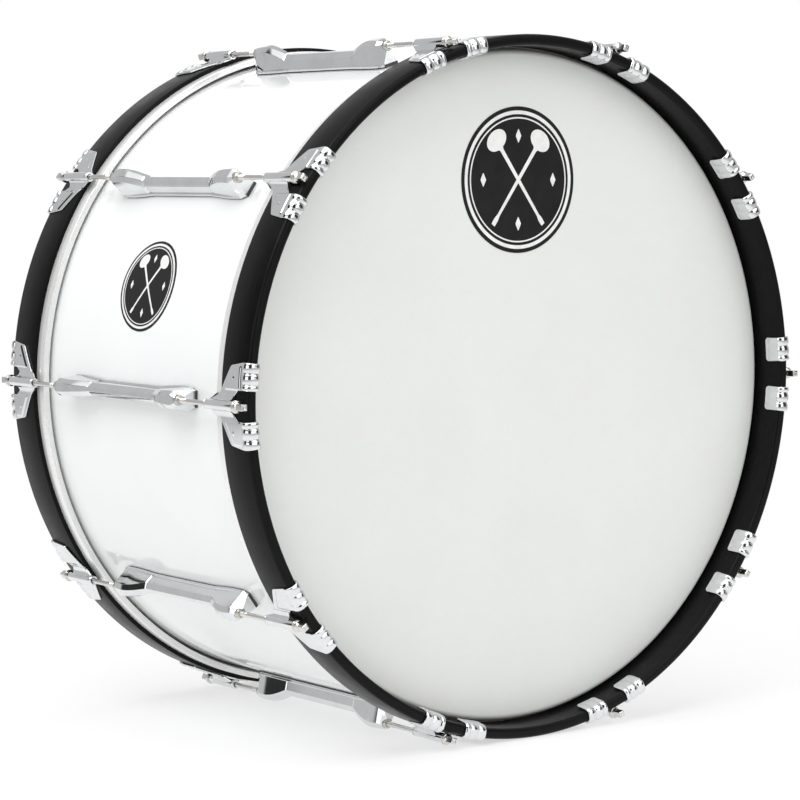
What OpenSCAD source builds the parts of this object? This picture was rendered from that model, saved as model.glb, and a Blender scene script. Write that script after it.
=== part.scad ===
/* [Shell] */
// Outside diameter of the wooden shell, under its covering
shell_d = 654.6; // [640:0.2:670]
// Length of the shell from bearing edge to bearing edge
shell_depth = 355.6; // [320:0.2:400]
// Thickness of the plywood shell wall
shell_wall = 7.5; // [6.5:0.1:9]
// Radius of the round-over that the film bends over
edge_round = 5; // [4:0.1:5.4]
// Thickness of the glossy covering on the shell
wrap_t = 0.5; // [0.3:0.1:1]

/* [Heads] */
// Thickness of the drumhead film
film_t = 0.35; // [0.25:0.05:0.5]
// Gap between the shell covering and the flesh hoop
flesh_gap = 3.2; // [3:0.1:3.6]
// Radial width of the flesh hoop
flesh_w = 6.3; // [6:0.1:7]
// Height of the flesh hoop along the drum
flesh_h = 13.7; // [13:0.1:15]

/* [Hoops] */
// Distance from the bearing edge back to the hoop's inner edge
hoop_setback = 9.6; // [9.4:0.1:10.4]
// Radial thickness of the wooden hoop
hoop_t = 11; // [10:0.1:12]
// Width of the wooden hoop along the drum
hoop_w = 42; // [38:0.5:46]
// Radius of the two rounded corners on the hoop's open edge
hoop_nose_r = 4; // [3:0.1:5]

/* [Claw hooks] */
// Width of a claw hook around the hoop
claw_w = 79; // [74:0.5:84]
// Width of the opening between the two hooks of a claw
claw_notch = 28; // [24:0.5:32]
// Thickness of the claw's metal
claw_sheet = 2; // [1.6:0.1:2.2]
// Angle at which the lip leans in from the hoop's wall
lip_lean = 9; // [8:0.5:11]
// Length of the straight part of the lip
lip_l = 14; // [10:0.5:16]
// Outside diameter of the claw's rod tube
claw_tube_d = 9.5; // [8.5:0.1:11]

/* [Tension rods] */
// Diameter of a tension rod's thread
rod_d = 5.5; // [5:0.1:6]
// Diameter of the smooth shank between the thread and the head
shank_d = 4.8; // [4:0.1:5]
// Distance from the hoop's outside to the rod's centre line
rod_stand_off = 6.5; // [6.4:0.1:7.4]
// Distance of the rod's threaded end from the middle of the drum
rod_tip_y = 82; // [80:0.5:86]
// Width across the flats of the square key head
key_sq = 6.3; // [5.5:0.1:6.8]
// Length of the square key head
key_h = 11; // [8:0.5:13]
// Diameter of the washer under a rod's fixed collar
rod_washer_d = 12; // [11:0.5:12.5]
// Diameter of the rod's fixed collar
collar_d = 11.5; // [10.5:0.5:12]

/* [Lugs] */
// Length of a lug, from end to end of its base
lug_l = 217; // [215:1:222]
// Height of the lug's middle bar above the shell covering
bar_h = 17.6; // [16:0.2:19]
// Height of a lug's bosses above the rod's centre line
boss_h = 7; // [6.8:0.1:8.4]
// Half the length of the middle bar between the bosses
bar_half_l = 58; // [54:0.5:60]
// Thickness of the plastic gasket under a lug
gasket_t = 1; // [0.6:0.1:1.4]
// Distance of the two fixing screws from the middle of the lug
lug_screw_y = 50; // [40:0.5:54]
// Diameter of a lug's fixing screws
lug_screw_d = 5; // [4:0.1:5.5]

/* [Emblems and vent] */
// Diameter of the emblem on the front head
head_emblem_d = 142; // [100:1:160]
// Diameter of the emblem on the shell
shell_emblem_d = 90; // [60:1:100]
// Diameter of the air vent through the shell
vent_d = 12.7; // [10:0.1:16]

/* [Hidden] */
// Number of lugs, and so of rods and claws on each side
lug_count = 10;
lug_step = 360 / lug_count;
// Gap left between surfaces that rest on each other
seat_gap = 0.05;

shell_r = shell_d / 2;
shell_in_r = shell_r - shell_wall;
wrap_r = shell_r + wrap_t;
edge_y = shell_depth / 2;
edge_peak_r = shell_r - edge_round;
edge_centre_y = edge_y - edge_round;
bevel = edge_peak_r - shell_in_r;

flesh_in_r = wrap_r + flesh_gap;
flesh_out_r = flesh_in_r + flesh_w;
flesh_top_y = edge_y - hoop_setback;
flesh_low_y = flesh_top_y - flesh_h;
flesh_wall = 1;
flesh_floor = 1.5;
flesh_lip_h = 2.6;

hoop_in_r = flesh_in_r - 0.5;
hoop_out_r = hoop_in_r + hoop_t;
hoop_back_y = flesh_top_y;
hoop_front_y = hoop_back_y + hoop_w;
hoop_nose_y = hoop_front_y - hoop_nose_r;

// The film runs over the edge, down beside the hoop and into the flesh hoop's channel
film_end_y = flesh_low_y + 8.7;
film_end_r = flesh_in_r + 2.8;
film_turn_y = film_end_y + 1.75;
film_turn_r = flesh_in_r - 1.4;
film_bend = 62;

rod_r = hoop_out_r + rod_stand_off;
claw_seat_r = hoop_out_r + seat_gap;
claw_out_r = claw_seat_r + claw_sheet;
claw_half = claw_w / 2;
notch_half = claw_notch / 2;
tube_in_y = flesh_low_y - 0.5;
tube_out_y = hoop_front_y - 9.5;
claw_back_y = hoop_back_y - 2;
hook_y = hoop_front_y - 13;
web_fillet = 5;
web_half = 4.2;
rod_fit = 0.05;
thread_end_y = 122;
ring_t = 1.6;

washer_t = 1.5;
rod_collar_y = tube_out_y + 2 * seat_gap + washer_t;
rod_collar_t = 2;
key_y = rod_collar_y + rod_collar_t;

lug_half = lug_l / 2;
gasket_r = wrap_r + seat_gap;
lug_foot_r = gasket_r + gasket_t;
flange_r = wrap_r + 4.2;
shoulder_r = wrap_r + 12.7;
bar_r = wrap_r + bar_h;
boss_r = rod_r + boss_h;
// Half widths of the lug at its base, its shoulders and its top face
flange_half = 8.8;
foot_half = 7.5;
shoulder_half = 6.1;
top_half = 2.4;
boss_foot_half = 11.3;
boss_shoulder_half = 8.5;
boss_top_half = 4.8;
foot_end_half = 8;
// Where a boss has its shoulders, its highest place and the point its end facets run to
boss_shoulder_r = rod_r + 2.6;
boss_peak_y = 92;
boss_shoulder_y = 102;
boss_point_y = 113;
boss_point_r = rod_r + 2.5;
gasket_edge = 0.9;
lip_h = 2.2;
cast_wall = 2.5;
hollow_half_l = 43;

nut_shoulder_y = 98;
nut_bore_d = 10;
nut_pocket_d = 11;
nut_pocket_y = 86;
nut_play = 0.1;
tip_bore_d = 7;
tip_bore_y = rod_tip_y - 5;
nut_flange_y = 92.5;
nut_nose_y = 112;

screw_head_d = 9.5;
screw_head_h = 3.4;
screw_washer_d = 14;
screw_washer_t = 1.2;
screw_play = 0.1;
screw_tip_r = wrap_r + 11.5;
washer_seat_r = shell_in_r * cos(asin(screw_washer_d / 2 / shell_in_r)) - seat_gap;

emblem_t = 0.3;
head_emblem_x = 0;
head_emblem_z = 202;
shell_emblem_angle = 162;
vent_angle = 18;
vent_flange_d = 22;
vent_flange_t = 1.2;
vent_wall = 1.2;

// Points along an arc, from angle a0 to a1
function arc(cx, cy, r, a0, a1, n = 8) =
    [for (i = [0 : n]) [cx + r * cos(a0 + (a1 - a0) * i / n), cy + r * sin(a0 + (a1 - a0) * i / n)]];

// Turns a profile of [radius, y] about the drum's axis
module around_drum() {
    rotate([-90, 0, 0])
        rotate_extrude($fn = 360)
            children();
}

// Turns a profile of [radius, y] through a few degrees on each side of the X axis
module sector(half_angle) {
    rotate([-90, 0, 0])
        rotate([0, 0, -half_angle])
            rotate_extrude(angle = 2 * half_angle, $fn = 360)
                children();
}

// Puts a child that stands on the +X axis at one lug's place around the drum
module at_lug(i) {
    rotate([0, -i * lug_step, 0])
        children();
}

module at_every_lug() {
    for (i = [0 : lug_count - 1])
        at_lug(i)
            children();
}

// Children as drawn on the rear side, or mirrored to the front
module side(front) {
    mirror([0, front ? 1 : 0, 0])
        children();
}

module both_sides() {
    side(false) children();
    side(true) children();
}

// A disc or tube along the drum's axis
module along_y(d, y0, y1) {
    translate([0, y0, 0])
        rotate([-90, 0, 0])
            cylinder(d = d, h = y1 - y0, $fn = 48);
}

// A round bar standing out from the drum's axis, along X
module along_x(d, r0, r1) {
    translate([r0, 0, 0])
        rotate([0, 90, 0])
            cylinder(d = d, h = r1 - r0, $fn = 48);
}

// An outline of [radius, across] pushed along the drum
module prism_y(y0, y1) {
    translate([0, y1, 0])
        rotate([90, 0, 0])
            linear_extrude(y1 - y0)
                children();
}

// An outline of [across, y] pushed outward from the drum
module prism_x(r0, r1) {
    translate([r0, 0, 0])
        rotate([0, 90, 0])
            linear_extrude(r1 - r0)
                children();
}

// An outline of [radius, y] pushed across
module prism_z(half) {
    translate([0, 0, -half])
        linear_extrude(2 * half)
            children();
}

// ---- shell ----

module shell_half_profile() {
    polygon(concat(
        [[shell_in_r, 0], [shell_r, 0]],
        arc(edge_peak_r, edge_centre_y, edge_round, 0, 90),
        [[shell_in_r, edge_y - bevel]]
    ));
}

module shell_cutters() {
    at_every_lug()
        for (y = [-lug_screw_y, lug_screw_y])
            translate([0, y, 0])
                along_x(lug_screw_d + screw_play, shell_in_r - 5, wrap_r + 5);
    rotate([0, -vent_angle, 0])
        along_x(vent_d, shell_in_r - 5, wrap_r + 5);
}

module shell() {
    color("burlywood")
        difference() {
            union() {
                around_drum() shell_half_profile();
                around_drum() mirror([0, 1]) shell_half_profile();
            }
            shell_cutters();
        }
}

module shell_wrap() {
    wrap_y = edge_centre_y - 0.8;
    color("white")
        difference() {
            around_drum()
                translate([shell_r, -wrap_y])
                    square([wrap_t, 2 * wrap_y]);
            shell_cutters();
        }
}

module vent_grommet() {
    inner_r = shell_in_r - 3 * seat_gap;
    color("silver")
        rotate([0, -vent_angle, 0])
            difference() {
                union() {
                    along_x(vent_d - 2 * seat_gap, shell_in_r - vent_flange_t, wrap_r + vent_flange_t);
                    along_x(vent_flange_d, wrap_r + 3 * seat_gap, wrap_r + 3 * seat_gap + vent_flange_t);
                    along_x(vent_flange_d - 4, inner_r - vent_flange_t, washer_seat_r - seat_gap);
                }
                along_x(vent_d - 2 * vent_wall, shell_in_r - 5, wrap_r + 5);
            }
}

// ---- heads ----

function film_line(offset) = concat(
    [[0, edge_y + seat_gap + offset], [edge_peak_r, edge_y + seat_gap + offset]],
    [for (p = arc(edge_peak_r, edge_centre_y, edge_round + seat_gap + offset, 90, 90 - film_bend, 6)) p],
    [
        [wrap_r + 0.8 + offset, edge_centre_y - 0.7],
        [film_turn_r + offset, film_turn_y + offset / 2],
        [film_end_r, film_end_y + offset]
    ]
);

function reversed(list) = [for (i = [len(list) - 1 : -1 : 0]) list[i]];

module film() {
    color("ivory")
        around_drum()
            polygon(concat(film_line(0), reversed(film_line(film_t))));
}

module flesh_hoop() {
    color("lightgray")
        around_drum() {
            translate([flesh_in_r, flesh_low_y])
                square([flesh_w, flesh_floor]);
            translate([flesh_in_r, flesh_low_y])
                square([flesh_wall, flesh_floor + flesh_lip_h]);
            translate([flesh_out_r - flesh_wall, flesh_low_y])
                square([flesh_wall, flesh_h - seat_gap]);
        }
}

// ---- hoops ----

module hoop() {
    color([0.12, 0.12, 0.12])
        around_drum()
            polygon(concat(
                [[hoop_in_r, hoop_back_y], [hoop_out_r, hoop_back_y]],
                arc(hoop_out_r - hoop_nose_r, hoop_nose_y, hoop_nose_r, 0, 90, 6),
                arc(hoop_in_r + hoop_nose_r, hoop_nose_y, hoop_nose_r, 90, 180, 6)
            ));
}

// ---- claw hooks ----

// Section of a claw's sheet at one side of its metal: along the hoop, over its nose and down the lip
function claw_line(r) = concat(
    [[hoop_out_r - hoop_nose_r + r, claw_back_y]],
    arc(hoop_out_r - hoop_nose_r, hoop_nose_y, r, 0, 90, 6),
    arc(hoop_in_r + hoop_nose_r, hoop_nose_y, r, 90, 180 - lip_lean, 6),
    [[
        hoop_in_r + hoop_nose_r - r * cos(lip_lean) - lip_l * sin(lip_lean),
        hoop_nose_y + r * sin(lip_lean) - lip_l * cos(lip_lean)
    ]]
);

// Outline, as [across, y], of what is cut away beside the slanting rear edge
module claw_corner() {
    clear = claw_half + 1;
    polygon([
        [5.4, claw_back_y - 1], [5.4, claw_back_y + 0.5], [13.3, claw_back_y + 7],
        [claw_half - 3, claw_back_y + 18], [clear, claw_back_y + 22], [clear, claw_back_y - 1]
    ]);
}

// Outline, as [across, y], of the opening between the two hooks
module claw_opening() {
    clear_y = hoop_front_y + 2 * claw_sheet;
    polygon([
        [-notch_half, clear_y], [-notch_half, hook_y - 1], [6 - notch_half, hook_y - 6],
        [notch_half - 6, hook_y - 6], [notch_half, hook_y - 1], [notch_half, clear_y]
    ]);
}

module claw_sheet_metal() {
    inner = hoop_nose_r + seat_gap;
    difference() {
        sector(claw_half / hoop_out_r * 180 / PI)
            polygon(concat(claw_line(inner + claw_sheet), reversed(claw_line(inner))));
        prism_x(hoop_in_r - claw_half, rod_r) {
            claw_opening();
            claw_corner();
            mirror([1, 0]) claw_corner();
        }
    }
}

// Solid web that joins the tube to the plate, with hollow fillets at its foot
module claw_web() {
    low_r = claw_seat_r + claw_sheet / 2;
    half = concat(
        [[rod_r, 0], [low_r, 0], [low_r, web_half + web_fillet]],
        [for (p = arc(claw_out_r + web_fillet, web_half + web_fillet, web_fillet, 180, 270, 6)) p]
    );
    prism_y(claw_back_y + 4, hook_y - 6.5) {
        polygon(half);
        mirror([0, 1]) polygon(half);
    }
}

module claw() {
    difference() {
        union() {
            claw_sheet_metal();
            claw_web();
            translate([rod_r, 0, 0])
                along_y(claw_tube_d, tube_in_y + ring_t, tube_out_y);
        }
        translate([rod_r, 0, 0])
            along_y(rod_d + 2 * rod_fit, tube_in_y - 1, tube_out_y + 1);
    }
}

module claws() {
    color("silver")
        at_every_lug() claw();
}

module claw_rings() {
    color("gainsboro")
        at_every_lug()
            translate([rod_r, 0, 0])
                difference() {
                    along_y(claw_tube_d, tube_in_y, tube_in_y + ring_t - seat_gap);
                    along_y(rod_d + 2 * rod_fit, tube_in_y - 1, tube_in_y + ring_t + 1);
                }
}

// ---- tension rods ----

module rod_washers() {
    color("whitesmoke")
        at_every_lug()
            translate([rod_r, 0, 0])
                difference() {
                    along_y(rod_washer_d, tube_out_y + seat_gap, tube_out_y + seat_gap + washer_t);
                    along_y(rod_d + 2 * rod_fit, tube_out_y - 1, tube_out_y + washer_t + 1);
                }
}

module rod_solid() {
    translate([rod_r, 0, 0]) {
        along_y(rod_d, rod_tip_y, thread_end_y);
        along_y(shank_d, rod_tip_y, key_y);
        along_y(collar_d, rod_collar_y, key_y);
        translate([-key_sq / 2, key_y, -key_sq / 2])
            cube([key_sq, key_h, key_sq]);
    }
}

module front_rod(number) {
    color("silver")
        at_lug(number - 1)
            side(true) rod_solid();
}

module rear_rod(number) {
    color("silver")
        at_lug(number - 1)
            side(false) rod_solid();
}

// ---- lugs ----

// Section of the lug as [radius, across]: foot, shoulders and a narrow top face
module lug_section(foot, shoulder, top, shoulder_at, top_at) {
    polygon([
        [shell_in_r, foot], [flange_r, foot], [shoulder_at, shoulder], [top_at, top],
        [top_at, -top], [shoulder_at, -shoulder], [flange_r, -foot], [shell_in_r, -foot]
    ]);
}

// Plan of the base flange as [across, y]: narrow along the bar, wider under the bosses
module base_plan(grow = 0) {
    quarter = [
        [0, 0], [flange_half + grow, 0], [flange_half + grow, bar_half_l - 8],
        [boss_foot_half - 0.8 + grow, bar_half_l + 12], [boss_foot_half + grow, bar_half_l + 24],
        [boss_foot_half + grow, lug_half - 9], [boss_foot_half - 0.9 + grow, lug_half - 3.5],
        [foot_end_half + grow, lug_half + grow], [0, lug_half + grow]
    ];
    for (a = [0, 1], b = [0, 1])
        mirror([a, 0]) mirror([0, b]) polygon(quarter);
}

function between(a, b, share) = a + (b - a) * share;

// One section of a boss, as a ring of [radius, y, across]
function boss_ring(y, top_at, top, shoulder_at, shoulder, foot) = [
    [shell_in_r, y, foot], [flange_r, y, foot], [shoulder_at, y, shoulder], [top_at, y, top],
    [top_at, y, -top], [shoulder_at, y, -shoulder], [flange_r, y, -foot], [shell_in_r, y, -foot]
];

// The section a share of the way from the bar to the boss's highest place, on an arched ridge
function boss_rise(share) = boss_ring(
    between(bar_half_l, boss_peak_y, share),
    between(bar_r + 0.8, boss_r, sin(90 * share)),
    between(top_half, boss_top_half - 0.4, share),
    between(shoulder_r + 1, boss_shoulder_r, sin(90 * share)),
    between(shoulder_half + 0.8, boss_shoulder_half, share),
    between(foot_half + 0.6, boss_foot_half, share)
);

// Closes a row of rings into one solid with flat facets
module skin(rings) {
    sides = len(rings[0]);
    last = sides * (len(rings) - 1);
    polyhedron(
        points = [for (ring = rings) each ring],
        faces = concat(
            [[for (i = [0 : sides - 1]) i]],
            [for (k = [0 : sides : last - 1], i = [0 : sides - 1]) [k + i, k + sides + i, k + (i + 1) % sides]],
            [for (k = [0 : sides : last - 1], i = [0 : sides - 1]) [
                k + (i + 1) % sides, k + sides + i, k + sides + (i + 1) % sides
            ]],
            [[for (i = [sides - 1 : -1 : 0]) last + i]]
        )
    );
}

// Boss with a slanting start, an arched ridge and flat facets that run to a point just above the rod's axis
module boss() {
    start = boss_ring(
        bar_half_l - 1.5, bar_r - 0.6, top_half - 0.2,
        shoulder_r - 0.6, shoulder_half - 0.2, foot_half - 0.1
    );
    shoulder = boss_ring(
        boss_shoulder_y, boss_r - 0.7, boss_top_half,
        boss_shoulder_r, boss_shoulder_half, boss_foot_half - 0.3
    );
    rise = [for (share = [0 : 0.25 : 1]) boss_rise(share)];
    skin(concat([start], rise, [shoulder]));
    hull() {
        skin([rise[len(rise) - 1], shoulder]);
        prism_z(foot_end_half)
            translate([flange_r - 1, lug_half - 1])
                square(1);
        translate([boss_point_r - 1, boss_point_y - 1, -0.5])
            cube(1);
    }
}

// Pocket that holds a swivel nut, open towards the shell, with a round way out and room for the rod's tip
module nut_pocket() {
    translate([rod_r, 0, 0]) {
        along_y(tip_bore_d, tip_bore_y, nut_pocket_y + 1);
        along_y(nut_pocket_d, nut_pocket_y, nut_shoulder_y);
        along_y(nut_bore_d, nut_pocket_y, boss_point_y + 1);
    }
    translate([shell_in_r, nut_pocket_y, -nut_pocket_d / 2])
        cube([rod_r - shell_in_r, nut_shoulder_y - nut_pocket_y, nut_pocket_d]);
}

// Hollow underside of the cast bar, between its two screws
module bar_hollow() {
    prism_y(-hollow_half_l, hollow_half_l)
        lug_section(
            foot_half - cast_wall, shoulder_half - cast_wall, top_half - cast_wall / 2,
            shoulder_r - cast_wall / 2, bar_r - 1.5 * cast_wall
        );
}

module lug_solid() {
    difference() {
        union() {
            prism_x(shell_in_r, flange_r) base_plan();
            prism_y(-bar_half_l, bar_half_l)
                lug_section(foot_half, shoulder_half, top_half, shoulder_r, bar_r);
            both_sides() boss();
        }
        rotate([-90, 0, 0])
            cylinder(r = lug_foot_r + seat_gap, h = 2 * lug_l, center = true, $fn = 360);
        bar_hollow();
        both_sides() nut_pocket();
        for (y = [-lug_screw_y, lug_screw_y])
            translate([0, y, 0])
                along_x(lug_screw_d + screw_play, shell_r, screw_tip_r + 1);
    }
}

module lug(number) {
    color("silver")
        at_lug(number - 1) lug_solid();
}

// Sheet under a lug, turned up over both ends of its base
module lug_gaskets() {
    color([0.2, 0.2, 0.2])
        at_every_lug() {
            both_sides()
                prism_z(foot_end_half)
                    translate([gasket_r + gasket_t / 2, lug_half + seat_gap])
                        square([lip_h, gasket_edge - seat_gap]);
            difference() {
                intersection() {
                    prism_x(shell_in_r, rod_r) base_plan(gasket_edge);
                    sector(4)
                        translate([gasket_r, -lug_l])
                            square([gasket_t, 2 * lug_l]);
                }
                for (y = [-lug_screw_y, lug_screw_y])
                    translate([0, y, 0])
                        along_x(lug_screw_d + screw_play, shell_r, rod_r);
            }
        }
}

module swivel_nut() {
    translate([rod_r, 0, 0])
        difference() {
            union() {
                along_y(nut_pocket_d - 4 * nut_play, nut_flange_y, nut_shoulder_y - seat_gap);
                along_y(nut_bore_d - 2 * nut_play, nut_flange_y, nut_nose_y);
            }
            along_y(rod_d + 2 * rod_fit, nut_flange_y - 1, nut_nose_y + 1);
        }
}

module swivel_nuts() {
    color("goldenrod")
        at_every_lug()
            both_sides() swivel_nut();
}

// Nylon block under a swivel nut that keeps it from falling towards the shell
module nut_retainers() {
    width = nut_pocket_d - 0.6;
    low_r = lug_foot_r + 2;
    color("white")
        at_every_lug()
            both_sides()
                translate([low_r, nut_pocket_y + 1, -width / 2])
                    cube([
                        rod_r - nut_pocket_d / 2 - low_r,
                        nut_shoulder_y - nut_pocket_y - 1.5,
                        width
                    ]);
}

module lug_screws() {
    head_r = washer_seat_r - screw_washer_t - seat_gap;
    color("dimgray")
        at_every_lug()
            for (y = [-lug_screw_y, lug_screw_y])
                translate([0, y, 0]) {
                    along_x(lug_screw_d, head_r - screw_head_h, screw_tip_r);
                    translate([head_r - screw_head_h, 0, 0])
                        rotate([0, 90, 0])
                            cylinder(d = screw_head_d, h = screw_head_h, $fn = 6);
                }
}

module lug_screw_washers() {
    color("lightgray")
        at_every_lug()
            for (y = [-lug_screw_y, lug_screw_y])
                translate([0, y, 0])
                    difference() {
                        along_x(screw_washer_d, washer_seat_r - screw_washer_t, washer_seat_r);
                        along_x(lug_screw_d + screw_play, shell_in_r - 5, shell_in_r + 1);
                    }
}

// ---- emblems ----

module shell_emblem() {
    color("black")
        rotate([0, -shell_emblem_angle, 0])
            intersection() {
                sector(8)
                    translate([wrap_r + seat_gap, -shell_emblem_d])
                        square([emblem_t, 2 * shell_emblem_d]);
                along_x(shell_emblem_d, shell_in_r, rod_r);
            }
}

module head_emblem() {
    y = edge_y + 2 * seat_gap + film_t;
    color("black")
        side(true)
            translate([head_emblem_x, 0, head_emblem_z])
                along_y(head_emblem_d, y, y + emblem_t);
}

shell();
shell_wrap();
vent_grommet();
shell_emblem();
head_emblem();
lug(1);  // lug_01
lug(2);  // lug_02
lug(3);  // lug_03
lug(4);  // lug_04
lug(5);  // lug_05
lug(6);  // lug_06
lug(7);  // lug_07
lug(8);  // lug_08
lug(9);  // lug_09
lug(10);  // lug_10
lug_gaskets();
swivel_nuts();
nut_retainers();
lug_screws();
lug_screw_washers();
side(true) film();  // front_film
side(false) film();  // rear_film
side(true) flesh_hoop();  // front_flesh_hoop
side(false) flesh_hoop();  // rear_flesh_hoop
side(true) hoop();  // front_hoop
side(false) hoop();  // rear_hoop
side(true) claws();  // front_claws
side(false) claws();  // rear_claws
side(true) claw_rings();  // front_claw_rings
side(false) claw_rings();  // rear_claw_rings
side(true) rod_washers();  // front_rod_washers
side(false) rod_washers();  // rear_rod_washers
front_rod(1);  // front_rod_01
front_rod(2);  // front_rod_02
front_rod(3);  // front_rod_03
front_rod(4);  // front_rod_04
front_rod(5);  // front_rod_05
front_rod(6);  // front_rod_06
front_rod(7);  // front_rod_07
front_rod(8);  // front_rod_08
front_rod(9);  // front_rod_09
front_rod(10);  // front_rod_10
rear_rod(1);  // rear_rod_01
rear_rod(2);  // rear_rod_02
rear_rod(3);  // rear_rod_03
rear_rod(4);  // rear_rod_04
rear_rod(5);  // rear_rod_05
rear_rod(6);  // rear_rod_06
rear_rod(7);  // rear_rod_07
rear_rod(8);  // rear_rod_08
rear_rod(9);  // rear_rod_09
rear_rod(10);  // rear_rod_10
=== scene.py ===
import math

import bmesh
import bpy
import numpy as np
from mathutils import Matrix, Vector
from mathutils.geometry import delaunay_2d_cdt


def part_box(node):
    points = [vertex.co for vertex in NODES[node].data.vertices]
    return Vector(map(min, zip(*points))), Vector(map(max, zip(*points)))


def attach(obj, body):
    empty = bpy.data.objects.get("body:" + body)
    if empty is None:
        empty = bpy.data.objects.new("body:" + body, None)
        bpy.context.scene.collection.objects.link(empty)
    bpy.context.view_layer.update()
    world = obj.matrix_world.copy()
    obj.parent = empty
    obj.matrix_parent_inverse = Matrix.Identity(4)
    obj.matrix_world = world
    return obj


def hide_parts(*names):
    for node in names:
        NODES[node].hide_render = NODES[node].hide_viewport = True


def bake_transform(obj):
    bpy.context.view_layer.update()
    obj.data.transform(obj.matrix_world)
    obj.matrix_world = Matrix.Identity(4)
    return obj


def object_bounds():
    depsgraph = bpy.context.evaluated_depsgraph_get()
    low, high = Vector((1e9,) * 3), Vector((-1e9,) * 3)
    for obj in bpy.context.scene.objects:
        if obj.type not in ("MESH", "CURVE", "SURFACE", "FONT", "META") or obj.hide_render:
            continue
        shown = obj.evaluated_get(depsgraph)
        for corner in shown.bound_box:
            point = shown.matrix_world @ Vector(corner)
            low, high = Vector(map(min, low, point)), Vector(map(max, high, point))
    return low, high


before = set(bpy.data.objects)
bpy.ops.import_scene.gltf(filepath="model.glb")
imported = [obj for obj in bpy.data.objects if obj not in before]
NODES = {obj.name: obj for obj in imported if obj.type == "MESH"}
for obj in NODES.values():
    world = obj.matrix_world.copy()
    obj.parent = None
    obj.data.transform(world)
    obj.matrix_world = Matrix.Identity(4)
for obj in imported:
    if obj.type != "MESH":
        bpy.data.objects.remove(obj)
CAD_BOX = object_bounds()

LUGS = 10
STEP = 360 / LUGS
MM = 0.001


def spans(node):
    """Lowest and highest corner of a CAD node in millimetres."""
    lo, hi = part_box(node)
    return [v / MM for v in lo], [v / MM for v in hi]


WRAP_R = spans("shell_wrap")[1][0]
WRAP_Y = spans("shell_wrap")[1][1]
HOOP_OUT_R = spans("rear_hoop")[1][2]
HOOP_BACK_Y, HOOP_FRONT_Y = spans("rear_hoop")[0][1], spans("rear_hoop")[1][1]
FLESH_LOW_Y = spans("rear_flesh_hoop")[0][1]
FILM_Y = spans("rear_film")[1][1]
ROD_LOW, ROD_HIGH = spans("rear_rod_01")
ROD_R = (ROD_LOW[0] + ROD_HIGH[0]) / 2


# ---- materials ----

class Nodes:
    """A short way to write shader nodes in a material's tree."""

    def __init__(self, name):
        self.mat = bpy.data.materials.new(name)
        self.mat.use_nodes = True
        self.tree = self.mat.node_tree
        self.shader = self.tree.nodes["Principled BSDF"]

    def add(self, kind, **settings):
        node = self.tree.nodes.new(kind)
        for key, value in settings.items():
            setattr(node, key, value)
        return node

    def put(self, socket, value):
        if isinstance(value, bpy.types.NodeSocket):
            self.tree.links.new(value, socket)
        elif hasattr(socket.default_value, "__len__") and len(value) == 3 and len(socket.default_value) == 4:
            socket.default_value = (*value, 1)
        else:
            socket.default_value = value

    def place(self, scale=(1, 1, 1), turn=(0, 0, 0)):
        """Object coordinates, stretched per axis."""
        coords = self.add("ShaderNodeTexCoord")
        mapping = self.add("ShaderNodeMapping")
        self.put(mapping.inputs["Vector"], coords.outputs["Object"])
        mapping.inputs["Scale"].default_value = scale
        mapping.inputs["Rotation"].default_value = turn
        return mapping.outputs["Vector"]

    def ring(self, around, across, radial=0.0):
        """Coordinates that run round the drum's axis: (angle, y, radius), each scaled."""
        coords = self.add("ShaderNodeTexCoord")
        split = self.add("ShaderNodeSeparateXYZ")
        self.put(split.inputs[0], coords.outputs["Object"])
        angle = self.math("ARCTAN2", split.outputs["Z"], split.outputs["X"])
        square = self.math("ADD", self.math("MULTIPLY", split.outputs["X"], split.outputs["X"]),
                           self.math("MULTIPLY", split.outputs["Z"], split.outputs["Z"]))
        join = self.add("ShaderNodeCombineXYZ")
        self.put(join.inputs[0], self.math("MULTIPLY", angle, around))
        self.put(join.inputs[1], self.math("MULTIPLY", split.outputs["Y"], across))
        self.put(join.inputs[2], self.math("MULTIPLY", self.math("SQRT", square), radial))
        return join.outputs[0]

    def math(self, operation, a, b=0.0, clamp=False):
        node = self.add("ShaderNodeMath", operation=operation, use_clamp=clamp)
        self.put(node.inputs[0], a)
        self.put(node.inputs[1], b)
        return node.outputs[0]

    def noise(self, vector, scale, detail=3.0, rough=0.55, distort=0.0):
        node = self.add("ShaderNodeTexNoise")
        self.put(node.inputs["Vector"], vector)
        node.inputs["Scale"].default_value = scale
        node.inputs["Detail"].default_value = detail
        node.inputs["Roughness"].default_value = rough
        node.inputs["Distortion"].default_value = distort
        return node.outputs["Fac"]

    def ramp(self, value, stops):
        """Values or colours at stops along 0 to 1."""
        node = self.add("ShaderNodeValToRGB")
        self.put(node.inputs["Fac"], value)
        elements = node.color_ramp.elements
        while len(elements) < len(stops):
            elements.new(0.5)
        for element, (at, colour) in zip(elements, stops):
            element.position = at
            element.color = (*colour, 1) if hasattr(colour, "__len__") else (colour, colour, colour, 1)
        return node.outputs["Color"]

    def mix(self, factor, a, b):
        node = self.add("ShaderNodeMix", data_type="RGBA")
        self.put(node.inputs[0], factor)
        self.put(node.inputs[6], a)
        self.put(node.inputs[7], b)
        return node.outputs[2]

    def span(self, value, low, high, to_low=0.0, to_high=1.0):
        node = self.add("ShaderNodeMapRange")
        for socket, v in zip(node.inputs, (value, low, high, to_low, to_high)):
            self.put(socket, v)
        return node.outputs[0]

    def bump(self, height, strength, distance, before=None):
        node = self.add("ShaderNodeBump")
        self.put(node.inputs["Height"], height)
        node.inputs["Strength"].default_value = strength
        node.inputs["Distance"].default_value = distance
        if before:
            self.put(node.inputs["Normal"], before)
        return node.outputs[0]

    def set(self, **sockets):
        for name, value in sockets.items():
            self.put(self.shader.inputs[name.replace("_", " ").title().replace("Ior", "IOR")], value)
        return self.mat


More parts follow.
